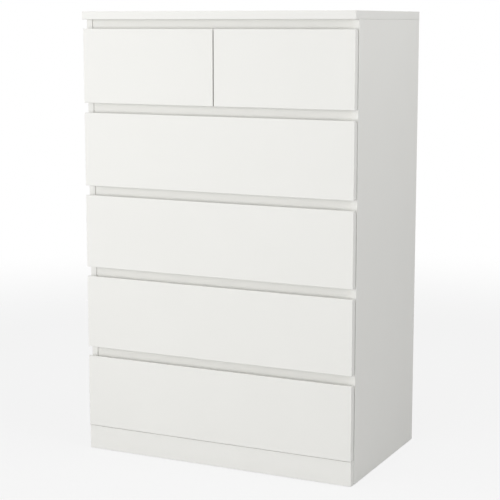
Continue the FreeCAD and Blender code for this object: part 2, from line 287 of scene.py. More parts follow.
# %% [markdown]
# ## Bench tools
#
# Every board is cut from the same few moves: a block or a drawn-out section, edges eased with a small
# bevel, a pocket or a bore let into a flat face. The bevel is what makes a board read as a board, because
# its narrow highlight is how light shows an edge. It is kept at about a millimetre, as on foiled furniture.

# %% Blocks, sections and eased edges
HAIR = 0.01 * MM                          # two places nearer than this are the same
WELD = 0.001 * MM
CORNER = math.radians(35.0)


def verts_in(geometry):
    return [g for g in geometry if isinstance(g, bmesh.types.BMVert)]


def edges_in(geometry):
    return [g for g in geometry if isinstance(g, bmesh.types.BMEdge)]


def pull_faces(bm, faces, way):
    """Draws faces out into a solid or a recess."""
    drawn = bmesh.ops.extrude_face_region(bm, geom=faces)["geom"]
    bmesh.ops.translate(bm, verts=verts_in(drawn), vec=way)


def pull_edges(bm, edges, way):
    """Draws edges out into a wall, and returns the edges at its far end."""
    drawn = bmesh.ops.extrude_edge_only(bm, edges=edges)["geom"]
    far = verts_in(drawn)
    bmesh.ops.translate(bm, verts=far, vec=way)
    return [e for e in edges_in(drawn) if all(v in far for v in e.verts)]


def as_mesh(bm, name):
    mesh = bpy.data.meshes.new(name)
    bm.to_mesh(mesh)
    bm.free()
    return mesh


def block(low, high):
    """A board or strip that fills a box."""
    bm = bmesh.new()
    place = Matrix.Translation((low + high) / 2) @ Matrix.Diagonal((*(high - low), 1.0))
    bmesh.ops.create_cube(bm, size=1.0, matrix=place)
    return bm


def draw_out(bm, points, along):
    """A closed section drawn out into a solid."""
    face = bm.faces.new([bm.verts.new(point) for point in points])
    pull_faces(bm, [face], along)
    bmesh.ops.recalc_face_normals(bm, faces=bm.faces)


def corners(bm):
    """The outward corners of a solid."""
    bm.normal_update()
    return [e for e in bm.edges if e.is_convex and e.calc_face_angle(0.0) > CORNER]


def ease(bm, radius, segments=3, edges=None):
    """Rounds edges over, as foil and edge banding leave them."""
    chosen = corners(bm) if edges is None else edges
    bmesh.ops.bevel(bm, geom=chosen, offset=radius, segments=segments, profile=0.5, affect="EDGES",
                    material=-1, clamp_overlap=True)


def unique(items):
    return list(dict.fromkeys(items))


print("bench tools: block, draw_out, ease")

# %% [markdown]
# A groove or hole is let into a finished face instead of being subtracted from the solid. The face is cut
# along the sides of a small rectangle, and what is inside is pushed in, or swapped for a round rim that is
# bridged to it. This keeps every face flat and every edge where it was meant, which a boolean does not
# promise.

# %% Pockets and bores
HOLE_STEPS = 24
HOLE_MARGIN = 1.5                         # half the side of the square cut round a hole, in radii


def flat_faces(bm, normal, level):
    """The faces that look along normal at that distance from the origin."""
    bm.normal_update()
    return [f for f in bm.faces
            if f.normal.dot(normal) > 0.999 and abs(f.calc_center_median().dot(normal) - level) < HAIR]


def isolate(bm, normal, level, low, high):
    """Cuts a flat surface along the sides of a rectangle, and returns the faces inside it."""
    faces = flat_faces(bm, normal, level)
    for axis in (i for i in range(3) if abs(normal[i]) < 0.5):
        way = Vector([float(i == axis) for i in range(3)])
        for limit in (low[axis], high[axis]):
            edges = unique(e for f in faces for e in f.edges)
            verts = unique(v for f in faces for v in f.verts)
            cut = bmesh.ops.bisect_plane(bm, geom=[*faces, *edges, *verts], dist=WELD, plane_co=way * limit,
                                         plane_no=way)
            faces = [g for g in cut["geom"] if isinstance(g, bmesh.types.BMFace)]
        faces = [f for f in faces if low[axis] < f.calc_center_median()[axis] < high[axis]]
    return faces


def pocket(bm, normal, level, low, high, depth):
    """A groove or recess with square corners."""
    faces = isolate(bm, normal, level, low, high)
    pull_faces(bm, faces, normal * -depth)
    bmesh.ops.delete(bm, geom=[f for f in faces if f.is_valid], context="FACES")


def turn_to(normal, centre):
    """The transform that stands +Z along normal, on centre."""
    return Matrix.Translation(centre) @ normal.to_track_quat("Z", "Y").to_matrix().to_4x4()


def rim(bm, normal, centre, radius):
    """Opens a round hole in a flat surface, and returns the edges round it.

    The circle starts a little below the surface: bridging reads which way two loops run from the step between
    them, so loops that lie in one plane could be joined crosswise. It is lifted level afterwards.
    """
    step = normal * MM
    reach = Vector((1, 1, 1)) * radius * HOLE_MARGIN
    square = isolate(bm, normal, centre.dot(normal), centre - reach, centre + reach)
    sides = unique(e for f in square for e in f.edges)
    around = [e for e in sides if sum(f in square for f in e.link_faces) == 1]
    bmesh.ops.delete(bm, geom=square, context="FACES")
    circle = bmesh.ops.create_circle(bm, cap_ends=False, segments=HOLE_STEPS, radius=radius,
                                     matrix=turn_to(normal, centre - step))["verts"]
    edges = unique(e for v in circle for e in v.link_edges)
    bmesh.ops.bridge_loops(bm, edges=[*around, *edges])
    bmesh.ops.translate(bm, verts=circle, vec=step)
    return edges


def bore(bm, normal, centre, radius, depth):
    """A blind hole with a flat bottom."""
    bottom = pull_edges(bm, rim(bm, normal, centre, radius), normal * -depth)
    bmesh.ops.edgeloop_fill(bm, edges=bottom)


def hole(bm, normal, centre, radius, thickness):
    """A hole right through. Its wall is drawn from the near rim and welded to the far one."""
    near = rim(bm, normal, centre, radius)
    rim(bm, -normal, centre - normal * thickness, radius)
    pull_edges(bm, near, normal * -thickness)
    bmesh.ops.remove_doubles(bm, verts=bm.verts, dist=WELD)


print("bench tools: pocket, bore, hole")

# %% [markdown]
# Rollers, pins, glides and screws are turned parts. Half of the section is drawn as distances along the
# axis and radii, and spun round. A solid one starts and ends on the axis, where its poles are merged shut,
# and a wheel's section is a closed ring that leaves its bore open.

# %% Turned parts, and handing a piece over
SHARP = math.radians(38.0)


def turn(bm, section, centre, axis, steps=32, ring=False):
    """Spins a section of (distance along the axis, radius) pairs."""
    side = axis.orthogonal().normalized()
    verts = [bm.verts.new(centre + axis * along + side * radius) for along, radius in section]
    pairs = list(zip(verts, verts[1:]))
    if ring:
        pairs.append((verts[-1], verts[0]))
    edges = [bm.edges.new(pair) for pair in pairs]
    bmesh.ops.spin(bm, geom=[*verts, *edges], cent=centre, axis=axis, dvec=(0, 0, 0),
                   angle=2 * math.pi, steps=steps, use_merge=True, use_duplicate=False)
    bmesh.ops.remove_doubles(bm, verts=bm.verts, dist=WELD)


def mark(bm, name, chosen):
    """Gives faces the value 1 in an attribute that a finish reads."""
    layer = bm.faces.layers.float.new(name)
    bm.normal_update()
    for face in bm.faces:
        face[layer] = 1.0 if chosen(face) else 0.0


def hand_over(name, bm, body, slot, material, *nodes):
    """Turns a finished mesh into a piece that rides on a body and stands for its nodes."""
    bmesh.ops.remove_doubles(bm, verts=bm.verts, dist=WELD)
    bmesh.ops.recalc_face_normals(bm, faces=bm.faces)
    for face in bm.faces:
        face.smooth = True
    for edge in bm.edges:
        edge.smooth = edge.calc_face_angle(0.0) < SHARP
    mesh = as_mesh(bm, name)
    mesh.materials.append(material)
    piece = bpy.data.objects.new(name, mesh)
    bpy.context.scene.collection.objects.link(piece)
    weighted = piece.modifiers.new("flat faces stay flat", "WEIGHTED_NORMAL")
    weighted.keep_sharp = True
    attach(piece, body)
    if nodes:
        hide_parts(*nodes)
    print(name, len(mesh.polygons), "faces")
    return piece


print("bench tools: turn, mark, hand_over")

# %% [markdown]
# ## The carcass boards
#
# Two upright panels carry everything. Each is one foiled board with a groove for the back down its inner
# face, so its section is drawn out from the floor to the top. The top lies over them with a groove of its
# own, stopped short of both ends so that it doesn't show. Front rails tie the panels together behind the
# gaps between the drawers.

# %% The sizes that the frame gives
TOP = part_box("top_panel")
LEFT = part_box("left_side_panel")
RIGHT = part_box("right_side_panel")
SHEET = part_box("back_panel_upper")
RAILS = ("top_front_rail", "cross_rail_1", "cross_rail_2", "cross_rail_3", "cross_rail_4")
INSIDE = {-1: LEFT[1].x, 1: RIGHT[0].x}
GROOVE_DEPTH = 8 * MM
GROOVE_PLAY = 0.1 * MM
BOARD_EDGE = 0.9 * MM
THIN_EDGE = 0.5 * MM
TOP_EDGE = 1.2 * MM
PLINTH_EDGE = 1.0 * MM
print("inside width", round(INSIDE[1] - INSIDE[-1], 4))

# %% [markdown]
# The boards are held by cam locks: a bolt screwed into one board is gripped by a cam that turns in a round
# hole in the other. Every cam sits 34 mm in from the joint. The list below says, for each lock, which board
# holds the cam, which takes the bolt, where the cam's face is and which way it and the bolt point.

# %% Where the cam locks are
CAM_RADIUS = 7.5 * MM
CAM_DEPTH = 13 * MM
CAM_INSET = 34 * MM
BOLT_RADIUS = 3.4 * MM
BOLT_REACH = 11 * MM
SIDE_CAM_Y = 170 * MM
DIVIDER_CAM_Y = 120 * MM


def cam_locks():
    locks = []
    for side, panel in ((-1, "left_side_panel"), (1, "right_side_panel")):
        end = INSIDE[side] - side * CAM_INSET
        for name in RAILS:
            low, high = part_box(name)
            locks.append((name, panel, Vector((end, high.y, (low.z + high.z) / 2)), Y, X * side))
        low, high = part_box("rear_base_rail")
        locks.append(("rear_base_rail", panel, Vector((end, low.y, (low.z + high.z) / 2)), -Y, X * side))
        for y in (-SIDE_CAM_Y, SIDE_CAM_Y):
            locks.append((panel, "top_panel", Vector((INSIDE[side], y, LEFT[1].z - CAM_INSET)), X * -side, Z))
        low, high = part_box("plinth_front")
        at = Vector((INSIDE[side], high.y + CAM_INSET, (low.z + high.z) / 2))
        locks.append((panel, "plinth_front", at, X * -side, -Y))
    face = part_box("centre_divider")[1].x
    for y in (-DIVIDER_CAM_Y, DIVIDER_CAM_Y):
        locks.append(("centre_divider", "top_panel", Vector((face, y, LEFT[1].z - CAM_INSET)), X, Z))
    return locks


LOCKS = cam_locks()


def bore_for_cams(bm, name):
    for holder, _, at, out, _ in LOCKS:
        if holder == name:
            bore(bm, out, at, CAM_RADIUS, CAM_DEPTH)


print(len(LOCKS), "cam locks")

# %% The top
def edge_banded(face):
    """True on the faces of a flat board that stand across its edges."""
    return abs(face.normal.z) < 0.5


def make_top():
    low, high = TOP
    bm = block(low, high)
    ease(bm, TOP_EDGE, 4)
    reach = INSIDE[1] + GROOVE_DEPTH
    groove = (Vector((-reach, SHEET[0].y - GROOVE_PLAY, 0)), Vector((reach, SHEET[1].y + GROOVE_PLAY, 0)))
    pocket(bm, -Z, -low.z, *groove, GROOVE_DEPTH)
    mark(bm, "edging", edge_banded)
    hand_over("top", bm, "carcass", "white_foil", FOIL, "top_panel")


make_top()

# %% The side panels
def make_side_panel(name, side):
    low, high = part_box(name)
    inner = INSIDE[side]
    outer = low.x if side < 0 else high.x
    deep = inner + side * GROOVE_DEPTH
    groove = (SHEET[0].y - GROOVE_PLAY, SHEET[1].y + GROOVE_PLAY)
    section = [(inner, low.y), (outer, low.y), (outer, high.y), (inner, high.y),
               (inner, groove[1]), (deep, groove[1]), (deep, groove[0]), (inner, groove[0])]
    bm = bmesh.new()
    draw_out(bm, [(x, y, low.z) for x, y in section], Z * (high.z - low.z))
    ease(bm, BOARD_EDGE)
    bore_for_cams(bm, name)
    mark(bm, "edging", lambda f: abs(f.normal.x) < 0.5)
    hand_over(name.replace("_panel", ""), bm, "carcass", "white_foil", FOIL, name)


make_side_panel("left_side_panel", -1)
make_side_panel("right_side_panel", 1)

# %% [markdown]
# The rails, the plinth and the upright between the small drawers are plain strips of the same foiled board.
# The upright is notched over the two rails that it stands behind, so its section is drawn from the side.

# %% Rails, plinth and upright
def make_rail(name, edge):
    bm = block(*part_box(name))
    ease(bm, edge)
    bore_for_cams(bm, name)
    mark(bm, "edging", lambda f: abs(f.normal.y) < 0.5)
    hand_over(name + "_board", bm, "carcass", "white_foil", FOIL, name)


for rail in RAILS:
    make_rail(rail, THIN_EDGE)
make_rail("rear_base_rail", BOARD_EDGE)
make_rail("plinth_front", PLINTH_EDGE)


def make_upright():
    low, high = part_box("centre_divider")
    upper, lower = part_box(RAILS[0]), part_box(RAILS[1])
    behind = upper[1].y
    section = [(behind, low.z), (high.y, low.z), (high.y, high.z), (behind, high.z),
               (behind, upper[0].z), (low.y, upper[0].z), (low.y, lower[1].z), (behind, lower[1].z)]
    bm = bmesh.new()
    draw_out(bm, [(low.x, y, z) for y, z in section], X * (high.x - low.x))
    ease(bm, THIN_EDGE)
    bore_for_cams(bm, "centre_divider")
    mark(bm, "edging", lambda f: abs(f.normal.x) < 0.5)
    hand_over("upright_between_drawers", bm, "carcass", "white_foil", FOIL, "centre_divider")


make_upright()

# %% [markdown]
# ## The back
#
# Two hardboard sheets slide into the grooves and meet in a plastic strip with an H section. Under the top,
# the upper sheet has two clearance holes, one for each steel bracket inside the chest, so that the screws
# through the brackets can reach the wall. The hardboard is lacquered on its inner side only; its rear faces
# are marked raw.

# %% Back sheets and strip
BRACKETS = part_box("wall_brackets")
BRACKET_WIDTH = 30 * MM
BRACKET_X = BRACKETS[1].x - BRACKET_WIDTH / 2
WALL_HOLE_DROP = 24 * MM                  # below the underside of the top
WALL_HOLE_Z = LEFT[1].z - WALL_HOLE_DROP
CLEARANCE_RADIUS = 4.5 * MM
SHEET_EDGE = 0.3 * MM
STRIP_WEB = 1.5 * MM


def make_back_sheet(name, drilled):
    low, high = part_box(name)
    bm = block(low, high)
    ease(bm, SHEET_EDGE, 1)
    if drilled:
        for x in (-BRACKET_X, BRACKET_X):
            hole(bm, Y, Vector((x, high.y, WALL_HOLE_Z)), CLEARANCE_RADIUS, high.y - low.y)
    mark(bm, "raw", lambda f: f.normal.y > 0.2)
    hand_over(name.replace("panel", "sheet"), bm, "carcass", "white_hardboard", HARDBOARD, name)


make_back_sheet("back_panel_upper", True)
make_back_sheet("back_panel_lower", False)


def make_joining_strip():
    low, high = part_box("back_joining_strip")
    front, rear = SHEET[0].y, SHEET[1].y
    middle = (low.z + high.z) / 2
    web = (middle - STRIP_WEB / 2, middle + STRIP_WEB / 2)
    section = [(low.y, low.z), (front, low.z), (front, web[0]), (rear, web[0]),
               (rear, low.z), (high.y, low.z), (high.y, high.z), (rear, high.z),
               (rear, web[1]), (front, web[1]), (front, high.z), (low.y, high.z)]
    bm = bmesh.new()
    draw_out(bm, [(low.x, y, z) for y, z in section], X * (high.x - low.x))
    ease(bm, 0.35 * MM, 2)
    hand_over("back_strip", bm, "carcass", "white_plastic", PLASTIC, "back_joining_strip")


make_joining_strip()

# %% [markdown]
# ## Fasteners
#
# A cam is a die-cast disc with a driver's cross in its face. Its bolt has a thread that bites into one
# board, a slim neck and a round head for the cam to grip. A screw is a domed head over a short shank,
# turned with a round recess for the driver in it, whose wall is then pulled in between four points so that
# it makes a star.

# %% Patterns for what repeats
STEPS = 32
STAR_WAIST = 0.4


def pull_star(bm, radius, floor):
    """Turns the round recess in a head into a four-pointed star for the driver."""
    for vert in bm.verts:
        on_wall = vert.co.z > floor - HAIR and abs(vert.co.xy.length - radius) < HAIR
        step = round(math.atan2(vert.co.y, vert.co.x) / (2 * math.pi / STEPS))
        if on_wall and step % (STEPS // 4):
            vert.co.xy *= STAR_WAIST


def turned_pattern(section, recess):
    """A part turned on the origin, facing +Z. Its recess is the radius and the floor's height."""
    bm = bmesh.new()
    turn(bm, section, Vector(), Z, STEPS)
    pull_star(bm, *recess)
    return as_mesh(bm, "pattern")


def add_copy(bm, pattern, at, out):
    """Adds a copy of a patterned part, standing on a point and facing out."""
    before = len(bm.verts)
    bm.from_mesh(pattern)
    bm.verts.ensure_lookup_table()
    bmesh.ops.transform(bm, matrix=turn_to(out, at), verts=bm.verts[before:])


print("fastener patterns ready")

# %% Cams and bolts
CAM_PLAY = 0.1 * MM
HEAD_SEAT = 2.5 * MM                      # how far the bolt's axis lies below the middle of the cam


def cam_pattern():
    """A cam, its face just proud of the board."""
    radius = CAM_RADIUS - CAM_PLAY
    proud = 0.2 * MM
    back = proud - CAM_DEPTH
    recess = 0.6 * radius
    floor = -2.5 * MM
    section = [(back, 0), (back, radius - 0.5 * MM), (back + 0.5 * MM, radius), (proud - 0.3 * MM, radius),
               (proud, radius - 0.4 * MM), (proud, recess), (floor, recess), (floor, 0)]
    return turned_pattern(section, (recess, floor))


def add_bolt(bm, start, along):
    """A cam bolt from its head, in the cam, to its point."""
    length = CAM_INSET + BOLT_REACH - CAM_RADIUS
    thread_start = CAM_INSET - CAM_RADIUS
    point = 2 * MM
    pitch = 1.6 * MM
    core, crest = 0.72 * BOLT_RADIUS, BOLT_RADIUS
    head, neck, shank = 0.95 * crest, 0.5 * crest, 0.9 * crest
    section = [(0, 0), (0, 0.6 * crest), (0.8 * MM, head), (2.2 * MM, head), (3.0 * MM, neck),
               (7.0 * MM, neck), (8.0 * MM, shank), (thread_start - 1.5 * MM, shank), (thread_start, crest)]
    for k in range(int((length - thread_start - point) / pitch)):
        root = thread_start + (k + 0.5) * pitch
        section += [(root, core), (root + pitch / 2, crest)]
    section += [(length - point / 2, neck), (length, 0)]
    turn(bm, section, start, along, 16)


def make_cams():
    pattern = cam_pattern()
    bm = bmesh.new()
    bolts = bmesh.new()
    for _, _, at, out, along in LOCKS:
        add_copy(bm, pattern, at, out)
        axis_start = at - out * (CAM_DEPTH / 2 + HEAD_SEAT) + along * CAM_RADIUS
        add_bolt(bolts, axis_start, along)
    hand_over("cams", bm, "carcass", "zinc_steel", ZINC, "cam_locks")
    hand_over("cam_bolts", bolts, "carcass", "zinc_steel", ZINC, "cam_locks")


make_cams()

# %% Screws
def screw_pattern(head_radius, head_height, shank):
    """One screw, with its head's underside at z = 0."""
    recess = 0.56 * head_radius
    floor = 0.2 * head_height
    section = [(-shank, 0), (-shank + 1.5 * MM, 0.42 * head_radius), (0, 0.5 * head_radius), (0, head_radius),
               (0.35 * head_height, head_radius), (0.8 * head_height, 0.9 * head_radius),
               (head_height, 0.72 * head_radius), (head_height, recess), (floor, recess), (floor, 0)]
    return turned_pattern(section, (recess, floor))


RUNNER_SCREW = screw_pattern(3.4 * MM, 1.1 * MM, 9 * MM)
BRACKET_SCREW = screw_pattern(4.0 * MM, 2.0 * MM, 14 * MM)
print("screw heads", len(RUNNER_SCREW.polygons), "faces each")

# %% [markdown]
# ## Brackets and glides
#
# A wall bracket is a strip of 2 mm steel bent to a right angle: two screws hold it up under the top, and
# the hole in its upright leg lets the wall screw through the back. Its section is drawn with the bend
# rounded, and the holes are punched through. The chest stands on four nail-in glides.

# %% Wall brackets
BRACKET_THICK = 2 * MM
BRACKET_BEND = 2.5 * MM
BRACKET_EDGE = 0.25 * MM
WALL_HOLE_RADIUS = 2.75 * MM
SCREW_HOLE_RADIUS = 2.25 * MM
SCREW_PLACES = (8 * MM, 24 * MM)          # off the bracket's middle, and in front of the back sheet


def make_brackets():
    low, high = BRACKETS
    bm = bmesh.new()
    screws = bmesh.new()
    for x in (-BRACKET_X, BRACKET_X):
        inner_y, inner_z = high.y - BRACKET_THICK, high.z - BRACKET_THICK
        section = [(high.y, low.z), (high.y, high.z), (low.y, high.z), (low.y, inner_z), (inner_y, inner_z),
                   (inner_y, low.z)]
        part = bmesh.new()
        draw_out(part, [(x - BRACKET_WIDTH / 2, y, z) for y, z in section], X * BRACKET_WIDTH)
        bend = [e for e in part.edges
                if all(v.co.y > high.y - HAIR and v.co.z > high.z - HAIR for v in e.verts)]
        ease(part, BRACKET_BEND, 5, bend)
        ease(part, BRACKET_EDGE, 2)
        hole(part, Y, Vector((x, high.y, WALL_HOLE_Z)), WALL_HOLE_RADIUS, BRACKET_THICK)
        for side in (-1, 1):
            place = Vector((x + side * SCREW_PLACES[0], high.y - SCREW_PLACES[1], high.z))
            hole(part, Z, place, SCREW_HOLE_RADIUS, BRACKET_THICK)
            add_copy(screws, BRACKET_SCREW, place - Z * BRACKET_THICK, -Z)
        bm.from_mesh(as_mesh(part, "bracket"))
    hand_over("brackets", bm, "carcass", "zinc_steel", ZINC, "wall_brackets")
    hand_over("bracket_screws", screws, "carcass", "zinc_steel", ZINC)


make_brackets()

# %% Floor glides
def make_glides():
    low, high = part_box("floor_glides")
    radius, disc = 7.5 * MM, 2 * MM
    curve, shoulder = 0.8 * MM, 0.25 * MM
    nail, point = 1.1 * MM, 1.5 * MM
    length = high.z - low.z
    bm = bmesh.new()
    section = [(0, 0), (0, radius - curve), (shoulder, radius - shoulder), (curve, radius),
               (disc, radius), (disc, nail), (length - point, nail), (length, 0)]
    for x in (low.x + radius, high.x - radius):
        for y in (low.y + radius, high.y - radius):
            turn(bm, section, Vector((x, y, low.z)), Z, 28)
    hand_over("glides", bm, "carcass", "white_plastic", PLASTIC, "floor_glides")


make_glides()

# %% [markdown]
# ## The drawers
#
# Every drawer is the same box at another size: a thick front, two sides, a back and a sheet let into
# grooves. The front overhangs the box all round, and its upper edge is the handle: a flat strip no wider
# than a pencil line, and then a curve that falls away behind it for the fingertips. That curve is one arc,
# spun from the point where the flat ends, so that it leaves the flat without a crease.

# %% Drawer fronts
DRAWERS = [body for body in frame["bodies"] if body.endswith("_drawer")]
GRIP_FLAT = 3 * MM
GRIP_DROP = 8 * MM
GROOVE_IN = 6 * MM
FRONT_EDGE = 1.0 * MM


def grip_section(bm, low, high):
    """The section of a front at its left end, with the grip's arc spun behind its upper edge."""
    run = high.y - low.y - GRIP_FLAT
    radius = (run ** 2 + GRIP_DROP ** 2) / (2 * GRIP_DROP)
    start = bm.verts.new((low.x, low.y + GRIP_FLAT, high.z))
    bmesh.ops.spin(bm, geom=[start], cent=start.co - Z * radius, axis=-X, dvec=(0, 0, 0),
                   angle=math.asin(run / radius), steps=12, use_merge=False, use_duplicate=False)
    arc = sorted(bm.verts, key=lambda v: v.co.y)
    rest = [bm.verts.new((low.x, y, z)) for y, z in ((high.y, low.z), (low.y, low.z), (low.y, high.z))]
    return bm.faces.new([*arc, *rest])


def make_front(name):
    low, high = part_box(name + "_front")
    bm = bmesh.new()
    pull_faces(bm, [grip_section(bm, low, high)], X * (high.x - low.x))
    bmesh.ops.recalc_face_normals(bm, faces=bm.faces)
    ease(bm, FRONT_EDGE)
    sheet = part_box(name + "_bottom")
    pocket(bm, Y, high.y, sheet[0] - Z * GROOVE_PLAY, sheet[1] + Z * GROOVE_PLAY, GROOVE_IN)
    mark(bm, "edging", lambda f: abs(f.normal.x) > 0.5)
    hand_over(name + "_front_board", bm, name, "white_foil", FOIL, name + "_front")


for drawer in DRAWERS:
    make_front(drawer)

# %% [markdown]
# A board that shuts against a board knocks. Soft plastic pads, smaller than a fingernail, take the knock:
# two for each end of a front that lies over a side panel, stuck to the panel's edge, and a hair thinner
# than the gap there. Each is a low dome, turned from half of its section.

# %% Bumpers
PAD_RADIUS = 4 * MM
PAD_THICK = 2.3 * MM
PAD_INSET = 22 * MM


def make_bumpers():
    bm = bmesh.new()
    section = [(0, 0), (0, PAD_RADIUS), (0.3 * PAD_THICK, PAD_RADIUS), (0.7 * PAD_THICK, 0.88 * PAD_RADIUS),
               (0.93 * PAD_THICK, 0.6 * PAD_RADIUS), (PAD_THICK, 0.3 * PAD_RADIUS), (PAD_THICK, 0)]
    for name in DRAWERS:
        low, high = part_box(name + "_front")
        for panel in (LEFT, RIGHT):
            x = (panel[0].x + panel[1].x) / 2
            if low.x < x < high.x:
                for z in (low.z + PAD_INSET, high.z - GRIP_DROP - PAD_INSET):
                    turn(bm, section, Vector((x, panel[0].y, z)), -Y, 24)
    hand_over("bumpers", bm, "carcass", "white_plastic", PLASTIC)


make_bumpers()

# %% [markdown]
# The box behind the front is 12 mm board. Its sides are grooved for the bottom, and their upper edges are
# rounded more than the rest, because that is where hands and clothes brush past. The back stands on the
# bottom sheet, which slides in under it.

# %% Drawer boxes
SIDE_THICK = 12 * MM
HAND_EDGE = 2.2 * MM
BACK_EDGE = 0.8 * MM


def add_side(bm, x0, x1, low, high, sheet):
    """A drawer side. x0 is its outer face and x1 its inner one."""
    deep = x1 + math.copysign(GROOVE_IN, x0 - x1)
    groove = (sheet[0].z - GROOVE_PLAY, sheet[1].z + GROOVE_PLAY)
    section = [(x0, low.z), (x1, low.z), (x1, groove[0]), (deep, groove[0]),
               (deep, groove[1]), (x1, groove[1]), (x1, high.z), (x0, high.z)]
    part = bmesh.new()
    draw_out(part, [(x, low.y, z) for x, z in section], Y * (high.y - low.y))
    upper = [e for e in corners(part) if all(v.co.z > high.z - HAIR for v in e.verts)]
    ease(part, HAND_EDGE, 4, upper)
    ease(part, THIN_EDGE, 2)
    bm.from_mesh(as_mesh(part, "side"))


def make_box(name):
    low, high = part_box(name + "_sides")
    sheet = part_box(name + "_bottom")
    sides = bmesh.new()
    add_side(sides, low.x, low.x + SIDE_THICK, low, high, sheet)
    add_side(sides, high.x, high.x - SIDE_THICK, low, high, sheet)
    hand_over(name + "_side_boards", sides, name, "drawer_board", BOARD, name + "_sides")
    back = block(*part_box(name + "_back"))
    ease(back, BACK_EDGE)
    hand_over(name + "_back_board", back, name, "drawer_board", BOARD, name + "_back")
    bottom = block(*sheet)
    ease(bottom, SHEET_EDGE, 1)
    mark(bottom, "raw", lambda f: f.normal.z < -0.2)
    hand_over(name + "_bottom_sheet", bottom, name, "white_hardboard", HARDBOARD, name + "_bottom")


for drawer in DRAWERS:
    make_box(drawer)

# %% [markdown]
# ## Roller runners
#
# A runner is two rolled steel sections and two nylon rollers. The drawer's section wraps the lower corner
# of its side and stands a track out over the roller at the front of the cabinet; the cabinet's section is a
# channel that the drawer's own rear roller runs in. Rolled steel is drawn as the middle line of its
# section, with the bends rounded, and given its thickness afterwards, as a sheet-metal shop would.

# %% Rolled sections
STEEL_THICK = 1.2 * MM
BEND = 1.6 * MM


def add_rolled(bm, line, start, end):
    """Rolled steel: a middle line of (x, z) points drawn from y = start to y = end."""
    verts = [bm.verts.new((x, start, z)) for x, z in line]
    for pair in zip(verts, verts[1:]):
        bm.edges.new(pair)
    bmesh.ops.bevel(bm, geom=verts[1:-1], offset=BEND, segments=4, profile=0.5,
                    affect="VERTICES", material=-1)
    pull_edges(bm, [e for e in bm.edges if e.is_wire], Y * (end - start))


def steel_piece(name, bm, body, *nodes):
    piece = hand_over(name, bm, body, "white_coated_steel", STEEL, *nodes)
    thick = piece.modifiers.new("steel", "SOLIDIFY")
    thick.thickness = STEEL_THICK
    thick.offset = 0.0
    thick.use_even_offset = True
    piece.modifiers.move(len(piece.modifiers) - 1, 0)
    return piece


print("rolled sections ready")

# %% Runners of one drawer
CHANNEL_WIDTH = 9.5 * MM
CHANNEL_BASE = -10 * MM                   # heights here are above the foot of the drawer's side
CHANNEL_ROOF = 24 * MM
SCREW_HEIGHT = 6.4 * MM
FIXED_SCREW_HEIGHT = 18.5 * MM
TRACK_CLEAR = 2.5 * MM
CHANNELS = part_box("cabinet_runners")
CHANNEL_SPAN = (CHANNELS[0].y, CHANNELS[1].y)
SCREWS_ALONG = (0.08, 0.5, 0.92)          # as shares of a runner's length
FIXED_SCREW_SHIFT = 0.02                  # keeps the two halves' screws apart
ROLLER_WIDTH = 6 * MM


def in_mm(section):
    return [(along * MM, radius * MM) for along, radius in section]


def roller_section():
    """A hollowed web between a bore and a tyre with rounded shoulders, the same on both faces."""
    near = ((0.0, 3.05), (0.0, 4.6), (0.5, 5.0), (0.5, 7.2), (0.0, 7.6), (0.0, 8.3), (0.7, 9.0))
    near = in_mm(near)
    return near + [(ROLLER_WIDTH - along, radius) for along, radius in reversed(near)]


ROLLER = roller_section()
PIN = in_mm(((0.0, 0.0), (0.0, 3.0), (6.6, 3.0), (6.6, 4.3), (7.2, 4.5), (7.6, 3.6), (7.6, 0.0)))


